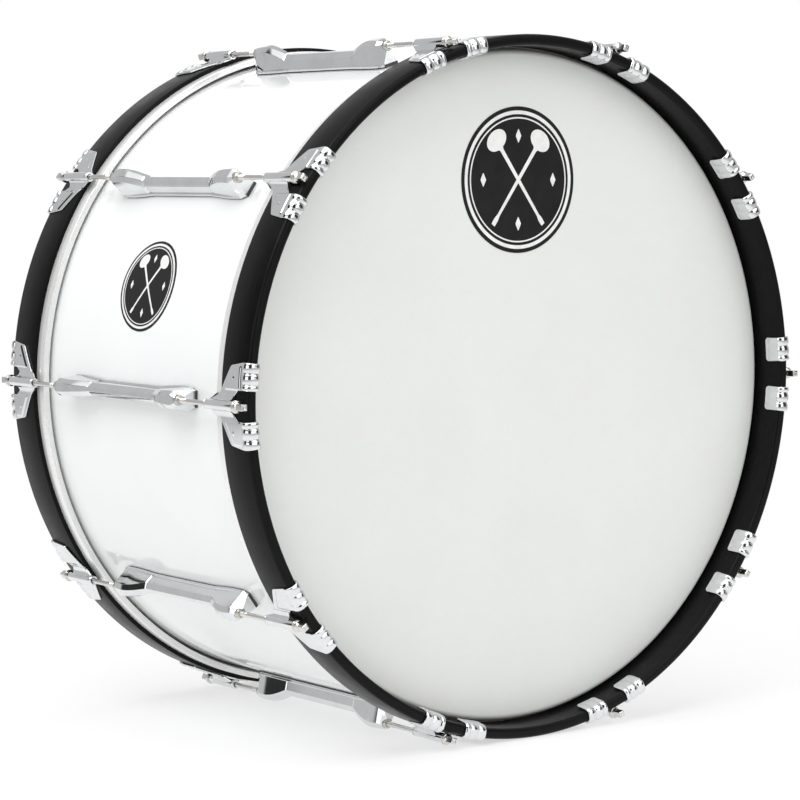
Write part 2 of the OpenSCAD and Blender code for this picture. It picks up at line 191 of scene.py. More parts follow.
def scratches(n, vector, scale, amount):
    """Thin, faint hairlines: 0 nearly everywhere and up to amount along the lines."""
    waves = n.noise(vector, scale, 2, 0.5, 1.5)
    line = n.math("ABSOLUTE", n.math("SUBTRACT", waves, 0.5))
    return n.math("MULTIPLY", n.span(line, 0.0, 0.012, 1.0, 0.0), amount)


def chrome(name, tint, rough, smear=0.10, grain=0.0):
    """Plated metal with smudges, hairlines and a slight waviness from polishing."""
    n = Nodes(name)
    p = n.place()
    cloud = n.noise(p, 55, 4, 0.6)
    roughness = n.math("ADD", n.span(cloud, 0.35, 0.75, rough, rough + smear),
                       scratches(n, n.place((1, 0.35, 1)), 260, 0.05))
    wave = n.noise(p, 90, 2)
    normal = n.bump(wave, 0.05, 0.0006)
    if grain:
        normal = n.bump(n.noise(n.place((1, 0.08, 1)), 2600, 2), grain, 0.00008, normal)
    colour = n.mix(n.span(cloud, 0.4, 0.8), tint, tuple(0.9 * c for c in tint))
    return n.set(base_color=colour, metallic=1.0, roughness=roughness, normal=normal)


def wrap_white():
    n = Nodes("wrap_white")
    p = n.ring(0.33, 1.0, 1.0)
    cloud = n.noise(p, 9, 3)
    colour = n.mix(n.span(cloud, 0.3, 0.7), (0.86, 0.875, 0.875), (0.83, 0.85, 0.85))
    rough = n.math("ADD", n.span(n.noise(p, 35, 4), 0.35, 0.75, 0.07, 0.13),
                   scratches(n, n.ring(0.33, 2.5, 1.0), 90, 0.06))
    peel = n.noise(p, 420, 2)
    return n.set(base_color=colour, roughness=rough, normal=n.bump(peel, 0.05, 0.0002),
                 coat_weight=0.6, coat_roughness=0.05)


def film_white():
    n = Nodes("film_white")
    p = n.place()
    fine = n.noise(p, 2400, 3, 0.7)
    cloud = n.noise(p, 6, 4)
    colour = n.mix(n.span(cloud, 0.3, 0.7), (0.80, 0.785, 0.765), (0.76, 0.745, 0.725))
    colour = n.mix(n.span(fine, 0.45, 0.7), colour, (0.74, 0.725, 0.70))
    rough = n.span(n.noise(p, 30, 4), 0.3, 0.75, 0.42, 0.56)
    return n.set(base_color=colour, roughness=rough, specular_ior_level=0.35,
                 subsurface_weight=0.15, subsurface_scale=0.002,
                 normal=n.bump(fine, 0.22, 0.0001, n.bump(n.noise(p, 300, 3), 0.08, 0.0002)))


def hoop_black():
    n = Nodes("hoop_black")
    p = n.ring(0.34, 6.0, 6.0)
    grain = n.noise(p, 60, 5, 0.62, 0.4)
    colour = n.mix(n.span(grain, 0.35, 0.7), (0.0035, 0.0035, 0.0038), (0.0065, 0.0065, 0.0070))
    rough = n.math("ADD", n.span(n.noise(n.place(), 45, 4), 0.3, 0.75, 0.25, 0.37),
                   scratches(n, n.place((1, 2, 1)), 150, 0.10))
    return n.set(base_color=colour, roughness=rough, normal=n.bump(grain, 0.10, 0.0002),
                 specular_ior_level=0.11)


def flesh_aluminium():
    n = Nodes("flesh_aluminium")
    p = n.ring(0.33, 30.0, 30.0)
    lines = n.noise(p, 60, 3, 0.6)
    colour = n.mix(n.span(lines, 0.3, 0.7), (0.93, 0.93, 0.92), (0.82, 0.82, 0.81))
    return n.set(base_color=colour, metallic=0.55, roughness=n.span(lines, 0.3, 0.7, 0.24, 0.4),
                 normal=n.bump(lines, 0.12, 0.0002))


def plastic(name, colour, rough):
    n = Nodes(name)
    p = n.place()
    cloud = n.noise(p, 120, 4)
    darker = tuple(0.88 * c for c in colour)
    return n.set(base_color=n.mix(n.span(cloud, 0.35, 0.7), colour, darker),
                 roughness=n.span(n.noise(p, 60, 3), 0.3, 0.7, rough - 0.06, rough + 0.08),
                 normal=n.bump(n.noise(p, 1500, 2), 0.12, 0.0001))


def shell_wood():
    n = Nodes("shell_wood")
    plies = n.noise(n.ring(1.2, 90.0, 1400.0), 1.0, 4, 0.6)
    pores = n.noise(n.ring(0.33, 12.0, 12.0), 130, 4, 0.7)
    browns = [(0.3, (0.42, 0.27, 0.14)), (0.55, (0.58, 0.41, 0.24)), (0.75, (0.66, 0.50, 0.32))]
    colour = n.ramp(plies, browns)
    colour = n.mix(n.span(pores, 0.55, 0.75, 0.0, 0.6), colour, (0.24, 0.14, 0.07))
    return n.set(base_color=colour, roughness=n.span(pores, 0.3, 0.7, 0.42, 0.6),
                 normal=n.bump(pores, 0.2, 0.0002))


def emblem_black():
    n = Nodes("emblem_black")
    p = n.place()
    cloud = n.noise(p, 70, 4)
    return n.set(base_color=n.mix(cloud, (0.006, 0.006, 0.007), (0.011, 0.011, 0.012)),
                 roughness=n.span(cloud, 0.3, 0.7, 0.30, 0.42), specular_ior_level=0.25,
                 normal=n.bump(n.noise(p, 900, 2), 0.1, 0.0001))


MATERIALS = {
    "shell_wood": shell_wood(),
    "wrap_white": wrap_white(),
    "grommet_chrome": chrome("grommet_chrome", (0.80, 0.80, 0.80), 0.08),
    "emblem_black": emblem_black(),
    "print_white": plastic("print_white", (0.84, 0.84, 0.83), 0.4),
    "lug_chrome": chrome("lug_chrome", (0.80, 0.81, 0.82), 0.04, 0.05),
    # black of the rubber gaskets, also used for the lips over each lug base's end, which are painted
    # reflection
    "gasket_plastic": plastic("gasket_plastic", (0.05, 0.05, 0.05), 0.45),
    "nut_brass": chrome("nut_brass", (0.62, 0.60, 0.55), 0.22, 0.12),
    "retainer_nylon": plastic("retainer_nylon", (0.7, 0.7, 0.66), 0.45),
    "screw_steel": chrome("screw_steel", (0.60, 0.60, 0.60), 0.25, 0.15),
    "film_white": film_white(),
    "flesh_aluminium": flesh_aluminium(),
    "hoop_black": hoop_black(),
    "claw_chrome": chrome("claw_chrome", (0.80, 0.81, 0.82), 0.05, 0.06),
    "washer_steel": chrome("washer_steel", (0.78, 0.76, 0.72), 0.12, 0.1),
    "rod_chrome": chrome("rod_chrome", (0.72, 0.71, 0.69), 0.14, 0.12, 0.3),
}

SLOTS = {
    "shell": "shell_wood", "shell_wrap": "wrap_white", "vent_grommet": "grommet_chrome",
    "shell_emblem": "emblem_black", "head_emblem": "emblem_black", "lug_gaskets": "gasket_plastic",
    "swivel_nuts": "nut_brass", "nut_retainers": "retainer_nylon", "lug_screws": "screw_steel",
    "lug_screw_washers": "screw_steel",
}
for side_name in ("front", "rear"):
    SLOTS.update({
        f"{side_name}_film": "film_white", f"{side_name}_flesh_hoop": "flesh_aluminium",
        f"{side_name}_hoop": "hoop_black", f"{side_name}_claws": "claw_chrome",
        f"{side_name}_claw_rings": "washer_steel", f"{side_name}_rod_washers": "washer_steel",
    })
    SLOTS.update({f"{side_name}_rod_{i:02d}": "rod_chrome" for i in range(1, LUGS + 1)})
SLOTS.update({f"lug_{i:02d}": "lug_chrome" for i in range(1, LUGS + 1)})

for name, slot_name in SLOTS.items():
    NODES[name].data.materials.clear()
    NODES[name].data.materials.append(MATERIALS[slot_name])


# ---- mesh helpers, in millimetres; a part is built at +X, on the drum's rear (+Y) side ----

def lug_matrix(index, front=False):
    """Places a part built at +X on the rear side at one lug, or turned over to the front side."""
    turn = Matrix.Rotation(-math.radians(STEP * index), 4, "Y")
    return turn @ Matrix.Rotation(math.pi, 4, "X") if front else turn


def new_mesh(name, points, faces, slot, smooth_angle=35):
    mesh = bpy.data.meshes.new(name)
    mesh.from_pydata((np.asarray(points, float) * MM).tolist(), [], [list(f) for f in faces])
    mesh.validate()
    solid = bmesh.new()
    solid.from_mesh(mesh)
    bmesh.ops.recalc_face_normals(solid, faces=solid.faces)
    solid.to_mesh(mesh)
    solid.free()
    mesh.shade_smooth()
    mesh.set_sharp_from_angle(angle=math.radians(smooth_angle))
    mesh.materials.append(MATERIALS[slot])
    mesh.update()
    return mesh


def new_piece(name, mesh, body, matrix=None, replaces=()):
    obj = bpy.data.objects.new(name, mesh)
    bpy.context.scene.collection.objects.link(obj)
    if matrix is not None:
        obj.matrix_world = matrix
    if body:
        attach(obj, body)
    if replaces:
        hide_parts(*replaces)
    return obj


def joined(*parts):
    """Several (points, faces) as one."""
    points, faces, base = [], [], 0
    for p, f in parts:
        points.append(np.asarray(p, float))
        faces += [[i + base for i in face] for face in f]
        base += len(p)
    return np.vstack(points), faces


def arc(cx, cy, r, a0, a1, n=8):
    a = np.radians(np.linspace(a0, a1, n + 1))
    return np.stack([cx + r * np.cos(a), cy + r * np.sin(a)], 1)


def lathe(profile, steps, closed=True):
    """Turns a profile of (radius, y) about the Y axis."""
    profile = np.asarray(profile, float)
    a = np.linspace(0, 2 * math.pi, steps, endpoint=False)
    r, y = profile[:, 0][:, None], profile[:, 1][:, None]
    points = np.stack([r * np.cos(a), y + 0 * a, r * np.sin(a)], 2).reshape(-1, 3)
    faces = []
    rows = len(profile)
    for j in range(rows if closed else rows - 1):
        k = (j + 1) % rows
        for i in range(steps):
            n = (i + 1) % steps
            faces.append([j * steps + i, j * steps + n, k * steps + n, k * steps + i])
    return points, faces


def rod_lathe(profile, steps):
    """A closed lathe about the rod's axis instead of the drum's."""
    points, faces = lathe(profile, steps)
    return points + [ROD_R, 0, 0], faces


def loft(rows, caps=True):
    """Joins rows of points, each a closed ring with the same count."""
    rows = np.asarray(rows, float)
    count, ring = rows.shape[:2]
    faces = []
    for j in range(count - 1):
        for i in range(ring):
            n = (i + 1) % ring
            faces.append([j * ring + i, j * ring + n, (j + 1) * ring + n, (j + 1) * ring + i])
    if caps:
        faces.append(list(range(ring))[::-1])
        faces.append([(count - 1) * ring + i for i in range(ring)])
    return rows.reshape(-1, 3), faces


def resample(outline, spacing):
    """A closed outline with points at even steps along it."""
    outline = np.asarray(outline, float)
    loop = np.vstack([outline, outline[:1]])
    run = np.concatenate([[0], np.cumsum(np.linalg.norm(np.diff(loop, axis=0), axis=1))])
    at = np.linspace(0, run[-1], int(run[-1] / spacing) + 1)[:-1]
    return np.stack([np.interp(at, run, loop[:, k]) for k in (0, 1)], 1)


def rounded(corners):
    """A closed outline from corners of (x, y, radius), with each corner rounded."""
    out = []
    count = len(corners)
    for i, (x, y, r) in enumerate(corners):
        p = np.array([x, y], float)
        a = np.array(corners[i - 1][:2], float) - p
        b = np.array(corners[(i + 1) % count][:2], float) - p
        a /= np.linalg.norm(a)
        b /= np.linalg.norm(b)
        if r <= 0:
            out.append(p)
            continue
        half = math.acos(max(-1, min(1, float(a @ b)))) / 2
        back = r / math.tan(half)
        centre = p + (a + b) / np.linalg.norm(a + b) * r / math.sin(half)
        start, end = p + a * back - centre, p + b * back - centre
        a0 = math.atan2(start[1], start[0])
        turn = (math.atan2(end[1], end[0]) - a0 + math.pi) % (2 * math.pi) - math.pi
        for t in np.linspace(0, 1, 9):
            out.append(centre + r * np.array([math.cos(a0 + turn * t), math.sin(a0 + turn * t)]))
    return np.array(out)


def inside(points, outline):
    """Which points lie inside a closed outline."""
    hit = np.zeros(len(points), bool)
    for (x0, y0), (x1, y1) in zip(outline, np.roll(outline, -1, 0)):
        crosses = (y0 > points[:, 1]) != (y1 > points[:, 1])
        with np.errstate(divide="ignore", invalid="ignore"):
            x = x0 + (points[:, 1] - y0) * (x1 - x0) / (y1 - y0)
        hit ^= crosses & (points[:, 0] < x)
    return hit


def inset(outline, distance):
    """A counter-clockwise outline moved inwards."""
    ahead = np.roll(outline, -1, 0) - np.roll(outline, 1, 0)
    ahead /= np.linalg.norm(ahead, axis=1)[:, None]
    return outline + distance * np.stack([-ahead[:, 1], ahead[:, 0]], 1)


def flat_fill(outline, spacing):
    """Triangles over an outline and a grid of points inside it: (points, triangles), outline first."""
    low, high = outline.min(0), outline.max(0)
    xs = np.arange(low[0], high[0], spacing)
    ys = np.arange(low[1], high[1], spacing * 0.866)
    grid = np.array([(x + (j % 2) * spacing / 2, y) for j, y in enumerate(ys) for x in xs])
    grid = grid[inside(grid, inset(outline, 0.55 * spacing))]
    near = np.array([np.min(np.sum((outline - g) ** 2, 1)) for g in grid])
    grid = grid[near > (0.5 * spacing) ** 2]
    count = len(outline)
    points = [Vector(p) for p in np.vstack([outline, grid])]
    edges = [(i, (i + 1) % count) for i in range(count)]
    result = delaunay_2d_cdt(points, edges, [], 1, 1e-6)
    made = np.array([tuple(v) for v in result[0]])
    source = {tuple(o)[0]: i for i, o in enumerate(result[3]) if o}
    order = [source[i] for i in range(count)]
    rest = [i for i in range(len(made)) if i not in set(order)]
    rank = {old: new for new, old in enumerate(order + rest)}
    return made[order + rest], [[rank[i] for i in f] for f in result[2]]


def sheet(outline, thickness, edge, spacing, shape):
    """A sheet cut to an outline of (u, s), with rounded rims. shape(u, s, h) places its points in space."""
    outline = resample(outline, spacing)
    core, triangles = flat_fill(inset(outline, edge), spacing)
    ring = len(outline)
    count = len(core)
    turns = np.radians([0, 22.5, 45, 67.5, 90])
    rims = [(edge * (1 - math.sin(t)), thickness - edge * (1 - math.cos(t))) for t in turns]
    rims += [(edge * (1 - math.sin(t)), edge * (1 - math.cos(t))) for t in turns[::-1]]
    points = [shape(core[:, 0], core[:, 1], np.full(count, thickness))]
    for off, h in rims[1:-1]:
        loop = inset(outline, off)
        points.append(shape(loop[:, 0], loop[:, 1], np.full(ring, h)))
    points.append(shape(core[:, 0], core[:, 1], np.zeros(count)))
    faces = [list(f) for f in triangles]
    starts = [0] + [count + k * ring for k in range(len(rims) - 2)]
    low = starts[-1] + ring
    starts.append(low)
    for a, b in zip(starts, starts[1:]):
        for i in range(ring):
            n = (i + 1) % ring
            faces.append([a + i, b + i, b + n, a + n])
    faces += [[low + i for i in f[::-1]] for f in triangles]
    return np.vstack(points), faces


def smooth(value, low, high):
    t = np.clip((value - low) / (high - low), 0, 1)
    return t * t * (3 - 2 * t)


# ---- claw hooks ----

CLAW_HALF = 39.5
CLAW_SEAT = HOOP_OUT_R + 0.05
CLAW_SHEET = 2.0
NOSE_R = 4.0
HOOP_T = 11.0
LIP_LEAN = 9
LIP = 14.0
NOSE_Y = HOOP_FRONT_Y - NOSE_R
BEND_R = NOSE_R + 0.05
NEUTRAL_R = BEND_R + CLAW_SHEET / 2
BEND_1 = NOSE_Y
BEND_1_END = BEND_1 + NEUTRAL_R * math.pi / 2
BEND_2 = BEND_1_END + HOOP_T - 2 * NOSE_R
BEND_2_END = BEND_2 + NEUTRAL_R * math.radians(90 - LIP_LEAN)
CLAW_END = BEND_2_END + LIP
CLAW_BACK = HOOP_BACK_Y - 2
NOTCH = 14.0
# centre and half width of the three lobes pressed into each hook, outermost first
LOBES = [(35.3, 4.3), (24.8, 4.4), (16.6, 2.6)]
LOBE_H = 1.05
LOBE_START, LOBE_END = NOSE_Y - 2.6, CLAW_END - 3.6
PAD_H = 0.8


def claw_relief(u, s):
    """How far the sheet is pressed out: lobes over the bend, a raised pad and a small mark on each half."""
    u = np.abs(u)
    out = np.zeros_like(u)
    for centre, half in LOBES:
        across = np.abs(u - centre) / half
        past = np.maximum(0, np.maximum(LOBE_START + half * 0.6 - s, s - (LOBE_END - half)))
        along = np.where(s < NOSE_Y + 2, past / (half * 0.6), past / half)
        reach = (across ** 3 + along ** 3) ** (1 / 3)
        out = np.maximum(out, LOBE_H * np.clip(1 - reach ** 2, 0, 1) ** 0.62)
    rear = (u - 6) * -0.525 + (s - 166.5) * 0.851
    pad = smooth(rear, 4.0, 5.6) * smooth(u, 13.6, 15.4)
    pad = pad * smooth(36.4 - u, 0, 1.6) * smooth(NOSE_Y - 5 - s, 0, 1.6)
    mark = np.exp(-((u - 25) / 1.1) ** 2 - ((s - 190) / 0.8) ** 2)
    return out + PAD_H * pad + 0.7 * mark


def claw_shape(u, s, h):
    h = h + claw_relief(u, s)
    first = np.clip((s - BEND_1) / NEUTRAL_R, 0, math.pi / 2)
    second = np.clip((s - BEND_2) / NEUTRAL_R, 0, math.radians(90 - LIP_LEAN))
    angle = first + second
    before = np.minimum(s, BEND_1) - BEND_1
    flat = np.clip(s - BEND_1_END, 0, BEND_2 - BEND_1_END)
    after = np.maximum(s - BEND_2_END, 0)
    r = HOOP_OUT_R - NOSE_R - flat + (BEND_R + h) * np.cos(angle) - after * np.sin(angle)
    y = NOSE_Y + before + (BEND_R + h) * np.sin(angle) + after * np.cos(angle)
    turn = u / HOOP_OUT_R
    return np.stack([r * np.cos(turn), y, r * np.sin(turn)], 1)


def claw_outline():
    side = [
        (5.6, CLAW_BACK, 0.8), (9.5, CLAW_BACK + 1.9, 4), (36.4, NOSE_Y - 21.6, 4.5),
        (CLAW_HALF, NOSE_Y - 3, 5),
        (CLAW_HALF, CLAW_END, 4.2), (NOTCH - 0.6, CLAW_END, 3.6), (NOTCH, NOSE_Y - 8.5, 5.5),
        (8.5, NOSE_Y - 15.2, 3.0),
    ]
    back = [(-u, s, r) for u, s, r in side[::-1]]
    return rounded(side + back)


def web_rows():
    """Sections of the web that carries the tube, from its slanted rear edge to the notch."""
    rows = []
    for y in np.concatenate([np.linspace(156.5, 167.5, 9), np.linspace(170, NOSE_Y - 15.0, 8)]):
        share = float(smooth(np.array(y), 155.0, 167.5))
        foot = ROD_R - 1.5 - share * (ROD_R - 1.5 - CLAW_SEAT - CLAW_SHEET + 0.02)
        fillet = max(0.4, 6.4 * share)
        half = 4.45
        side = arc(foot + fillet, half + fillet, fillet, 180, 270, 8)
        low = min(foot - 0.7, ROD_R - 2)
        profile = [(ROD_R + 1.2, half)] + [tuple(p) for p in side[::-1]] + [(low, half + fillet)]
        both = profile + [(r, -z) for r, z in profile[::-1]]
        rows.append([(r, y, z) for r, z in both])
    return rows


TUBE_R = 4.75
TUBE_BORE_R = 2.85
TUBE_IN, TUBE_OUT = FLESH_LOW_Y + 1.1, HOOP_FRONT_Y - 9.5


def claw_mesh():
    tube = rod_lathe(np.vstack([
        [(TUBE_BORE_R, TUBE_IN)], arc(TUBE_R - 1.4, TUBE_IN + 1.4, 1.4, -90, 0, 5),
        arc(TUBE_R - 0.6, TUBE_OUT - 0.6, 0.6, 0, 90, 4), [(TUBE_BORE_R + 0.3, TUBE_OUT)],
        [(TUBE_BORE_R, TUBE_OUT - 0.3)],
    ]), 40)
    metal = sheet(claw_outline(), CLAW_SHEET, 0.5, 0.85, claw_shape)
    points, faces = joined(metal, tube, loft(web_rows()))
    return new_mesh("claw_hook", points, faces, "claw_chrome", 32)


claw = claw_mesh()
for side_name in ("front", "rear"):
    made = [
        new_piece(f"{side_name}_claw_{i + 1:02d}", claw, f"{side_name}_rim",
                  lug_matrix(i, side_name == "front"))
        for i in range(LUGS)
    ]
    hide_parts(f"{side_name}_claws")


# ---- tension rods, washers and rings ----

THREAD_R, ROOT_R, SHANK_R = 2.75, 2.22, 2.4
THREAD_PITCH = 25.4 / 24
ROD_TIP_Y = 82.0
THREAD_END = 121.5
COLLAR_Y = spans("rear_rod_washers")[1][1] + 0.06
COLLAR_T = 2.0
COLLAR_R = 5.75
KEY_HALF = 3.15
KEY_TIP = ROD_HIGH[1]


def rod_thread():
    """The threaded length as a real helix, running out into the shank."""
    steps = 20
    ys = np.arange(ROD_TIP_Y + 0.6, THREAD_END + 1.2, THREAD_PITCH / 5)
    turn = np.linspace(0, 2 * math.pi, steps, endpoint=False)
    y, a = np.meshgrid(ys, turn, indexing="ij")
    phase = (y / THREAD_PITCH - a / (2 * math.pi)) % 1
    crest = np.clip(1.35 - 2.4 * np.abs(phase - 0.5), 0, 1)
    runout = smooth(THREAD_END - y, -1.2, 0.4) * smooth(y, ROD_TIP_Y + 0.4, ROD_TIP_Y + 1.6)
    near_shank = y > (ROD_TIP_Y + THREAD_END) / 2
    r = ROOT_R + (THREAD_R - ROOT_R) * crest * runout + (SHANK_R - ROOT_R) * (1 - runout) * near_shank
    points = np.stack([ROD_R + r * np.cos(a), y, r * np.sin(a)], 2).reshape(-1, 3)
    faces = []
    for j in range(len(ys) - 1):
        for i in range(steps):
            n = (i + 1) % steps
            faces.append([j * steps + i, j * steps + n, (j + 1) * steps + n, (j + 1) * steps + i])
    start = len(points)
    points = np.vstack([points, [[ROD_R, ROD_TIP_Y, 0], [ROD_R, ys[-1], 0]]])
    last = (len(ys) - 1) * steps
    for i in range(steps):
        n = (i + 1) % steps
        faces.append([start, n, i])
        faces.append([start + 1, last + i, last + n])
    return points, faces


def solid_of_turn(profile, steps):
    """A solid about the rod's axis from (radius, y) points that start and end near the axis."""
    return rod_lathe(np.vstack([[(0.02, profile[0][1])], profile, [(0.02, profile[-1][1])]]), steps)


def rod_head():
    face = COLLAR_Y + COLLAR_T
    collar = solid_of_turn(np.vstack([
        arc(COLLAR_R - 0.35, COLLAR_Y + 0.35, 0.35, -90, 0, 3),
        arc(COLLAR_R - 0.7, face - 0.7, 0.7, 0, 70, 5),
        [(4.75, face + 0.12), (4.3, face + 0.55), (3.75, face + 1.7), (3.3, face + 2.3)],
    ]), 44)
    half = KEY_HALF
    square = rounded([(half, half, 0.75), (-half, half, 0.75), (-half, -half, 0.75), (half, -half, 0.75)])
    rows = []
    for y, scale in ((face - 0.5, 1), (face + 0.9, 1), (KEY_TIP - 1.1, 1), (KEY_TIP - 0.75, 0.975),
                     (KEY_TIP - 0.2, 0.86), (KEY_TIP, 0.74), (KEY_TIP, 0.45), (KEY_TIP - 0.3, 0.30)):
        rows.append([(ROD_R + x * scale, y, z * scale) for x, z in square])
    return joined(collar, loft(rows))


def rod_shank():
    return solid_of_turn(np.array([(SHANK_R, THREAD_END + 0.4), (SHANK_R, COLLAR_Y + 0.5)]), 32)


rod = new_mesh("tension_rod", *joined(rod_thread(), rod_shank(), rod_head()), "rod_chrome", 30)
for side_name in ("front", "rear"):
    for i in range(LUGS):
        node = f"{side_name}_rod_{i + 1:02d}"
        new_piece(f"{side_name}_tension_rod_{i + 1:02d}", rod, node,
                  lug_matrix(i, side_name == "front"), [node])


def flat_ring(inner, outer, low, high, bevel):
    return rod_lathe(np.vstack([
        [(inner, low + bevel)], [(inner + bevel, low)], arc(outer - bevel, low + bevel, bevel, -90, 0, 3),
        arc(outer - bevel, high - bevel, bevel, 0, 90, 3), [(inner + bevel, high)], [(inner, high - bevel)],
    ]), 44)


def around(part, front):
    """The same part at every lug, as one mesh's points and faces."""
    points, faces = part
    copies = []
    for i in range(LUGS):
        turn = np.array(lug_matrix(i, front).to_3x3())
        copies.append((points @ turn.T, faces))
    return joined(*copies)


washer_low, washer_high = spans("rear_rod_washers")
ring_low, ring_high = spans("rear_claw_rings")
washer = flat_ring(2.85, 6.0, washer_low[1], washer_high[1], 0.3)
ring = flat_ring(2.85, 4.75, ring_low[1], ring_high[1], 0.45)
for side_name in ("front", "rear"):
    is_front = side_name == "front"
    for what, part, slot in (("rod_washers", washer, "washer_steel"), ("claw_rings", ring, "claw_chrome")):
        made = new_mesh(f"{side_name}_{what}_mesh", *around(part, is_front), slot, 30)
        new_piece(f"{side_name}_fine_{what}", made, f"{side_name}_rim", None, [f"{side_name}_{what}"])


# ---- lugs ----

FOOT_R = WRAP_R + 1.1
FLANGE_R = WRAP_R + 4.2
LUG_HALF = spans("lug_gaskets")[1][1] - 0.9
BOSS_START, BOSS_PEAK, BOSS_SHOULDER, BOSS_POINT = 57.0, 92.0, 102.0, 113.0
BOSS_R = ROD_R + 7.0
BORE_R = 5.0
END_HALF = 8.2
# Black lips over each end of the base: painted reflection, dark sheets where the base's chrome end face shows
# a dark reflection; they are not part of the rubber gasket
DARK_LIP_LOW_R, DARK_LIP_TOP_R, DARK_LIP_HALF = FOOT_R - 0.8, FLANGE_R - 1.3, 8.0
# (radius, across) at the top face's edge, at the shoulder and at the foot
BAR = ((WRAP_R + 17.4, 2.15), (WRAP_R + 12.8, 6.2), (FOOT_R, 7.6))
RISE = ((WRAP_R + 18.3, 2.45), (WRAP_R + 13.4, 7.0), (FOOT_R, 8.4))
PEAK = ((BOSS_R, 4.3), (ROD_R + 2.9, 8.35), (FOOT_R, 11.2))
SHOULDER = ((BOSS_R - 0.7, 4.85), (ROD_R + 2.4, 8.5), (FOOT_R, 11.0))


def lug_row(y, section, bevels=(0.45, 0.6)):
    """One ring of points across the lug, with its four upper edges rounded."""
    (top_r, top), (side_r, side), (foot_r, foot) = section
    corners = [
        (foot_r, foot, 0), (side_r, side, bevels[1]), (top_r, top, bevels[0]),
        (top_r, -top, bevels[0]), (side_r, -side, bevels[1]), (foot_r, -foot, 0),
    ]
    return np.array([(r, y, s) for r, s in rounded(corners)])


def between(a, b, share):
    return tuple(tuple(p + (q - p) * share for p, q in zip(u, v)) for u, v in zip(a, b))


def boss_section(share):
    """Section on the arched ridge, a share of the way from the bar to the boss's highest place."""
    lift = math.sin(math.pi / 2 * share)
    plain, arched = between(RISE, PEAK, share), between(RISE, PEAK, lift)
    return tuple((a[0], p[1]) for a, p in zip(arched, plain))


def bevelled(rows, sizes):
    """Rounds a row of rings where it turns: sizes gives each inner ring's rounding along the way, or 0."""
    out = [rows[0]]
    for before, at, after, size in zip(rows, rows[1:], rows[2:], sizes):
        if not size:
            out.append(at)
            continue
        back = np.linalg.norm(before - at, axis=1).mean()
        ahead = np.linalg.norm(after - at, axis=1).mean()
        a = at + (before - at) * min(0.45, size / back)
        b = at + (after - at) * min(0.45, size / ahead)
        for t in (0, 0.25, 0.5, 0.75, 1):
            out.append((1 - t) ** 2 * a + 2 * t * (1 - t) * at + t * t * b)
    out.append(rows[-1])
    return out


def lug_half_rows():
    rows = [lug_row(0, BAR), lug_row(BOSS_START, BAR), lug_row(BOSS_START + 1.6, RISE)]
    sizes = [0.35, 0.35]
    for share in np.linspace(0.08, 1, 12):
        rows.append(lug_row(BOSS_START + 1.6 + (BOSS_PEAK - BOSS_START - 1.6) * share, boss_section(share)))
        sizes.append(0)
    rows.append(lug_row(BOSS_SHOULDER, SHOULDER))
    point = np.array([ROD_R + 2.3, BOSS_POINT, 0])
    end = point + (rows[-1] - point) * 0.04
    end[0] = FLANGE_R - 0.1, LUG_HALF - 0.1, END_HALF
    end[-1] = FLANGE_R - 0.1, LUG_HALF - 0.1, -END_HALF
    rows.append(end)
    sizes.append(0.5)
    return bevelled(rows, sizes)


def base_shape(u, s, h):
    turn = u / WRAP_R
    r = FOOT_R + h
    return np.stack([r * np.cos(turn), s, r * np.sin(turn)], 1)


def base_outline(grow=0.0):
    quarter = [
        (8.8, 50.0, 8), (10.5, 70.0, 20), (11.3, 82.0, 20), (11.3, LUG_HALF - 8.5, 9),
        (END_HALF, LUG_HALF, 2.0),
    ]
    right = [(u, -s, r) for u, s, r in quarter[::-1]] + quarter
    left = [(-u, -s, r) for u, s, r in right]
    return inset(resample(rounded(right + left), 1.2), -grow)


def lug_base():
    return sheet(base_outline(), FLANGE_R - FOOT_R, 0.7, 1.6, base_shape)


def lug_mesh():
    half = lug_half_rows()
    rows = [r * [1, -1, 1] for r in half[:0:-1]] + half
    body = new_mesh("lug_casting", *loft(rows), "lug_chrome", 24)
    obj = bpy.data.objects.new("lug_blank", body)
    tool_points, tool_faces = joined(*[
        rod_lathe([(0.02, y0), (BORE_R, y0), (BORE_R, y1), (0.02, y1)], 48)
        for y0, y1 in ((98.0, 116.0), (-116.0, -98.0))
    ])
    tool_mesh = new_mesh("lug_bore_tool", tool_points, tool_faces, "lug_chrome")
    tool = bpy.data.objects.new("lug_bore_tool", tool_mesh)
    for o in (obj, tool):
        bpy.context.scene.collection.objects.link(o)
    cut = obj.modifiers.new("bore", "BOOLEAN")
    cut.operation, cut.solver, cut.object = "DIFFERENCE", "EXACT", tool
    bpy.context.view_layer.update()
    bored = bpy.data.meshes.new_from_object(obj.evaluated_get(bpy.context.evaluated_depsgraph_get()))
    points = np.array([v.co[:] for v in bored.vertices]) / MM
    faces = [list(p.vertices) for p in bored.polygons]
    for o in (obj, tool):
        bpy.data.objects.remove(o)
    return new_mesh("lug", *joined((points, faces), lug_base()), "lug_chrome", 24)


def gasket():
    """Rubber sheet under a lug, with black lips turned up over both ends of its base; the sheet is real
    rubber, the lips are painted reflection standing for the dark reflection in each end face.
    """
    points, faces = sheet(base_outline(-0.45), 1.0, 0.3, 3.0, lambda u, s, h: base_shape(u, s, h - 1.05))
    ends = []
    # The lips: painted reflection, black sheets over each end face of the base where it shows a dark
    # reflection
    for sign in (-1, 1):
        y0, y1 = sorted((sign * (LUG_HALF + 0.16), sign * (LUG_HALF + 0.75)))
        rows = [[(DARK_LIP_LOW_R, y, DARK_LIP_HALF), (DARK_LIP_TOP_R, y, DARK_LIP_HALF),
                 (DARK_LIP_TOP_R, y, -DARK_LIP_HALF), (DARK_LIP_LOW_R, y, -DARK_LIP_HALF)] for y in (y0, y1)]
        ends.append(loft(rows))
    return joined((points, faces), *ends)


# Real rubber gaskets, joined with the black lips that are painted reflection over each lug base's end
made = new_mesh("gaskets", *around(gasket(), False), "gasket_plastic", 35)
new_piece("gaskets_and_painted_reflection_lips", made, "drum_shell", None, ["lug_gaskets"])

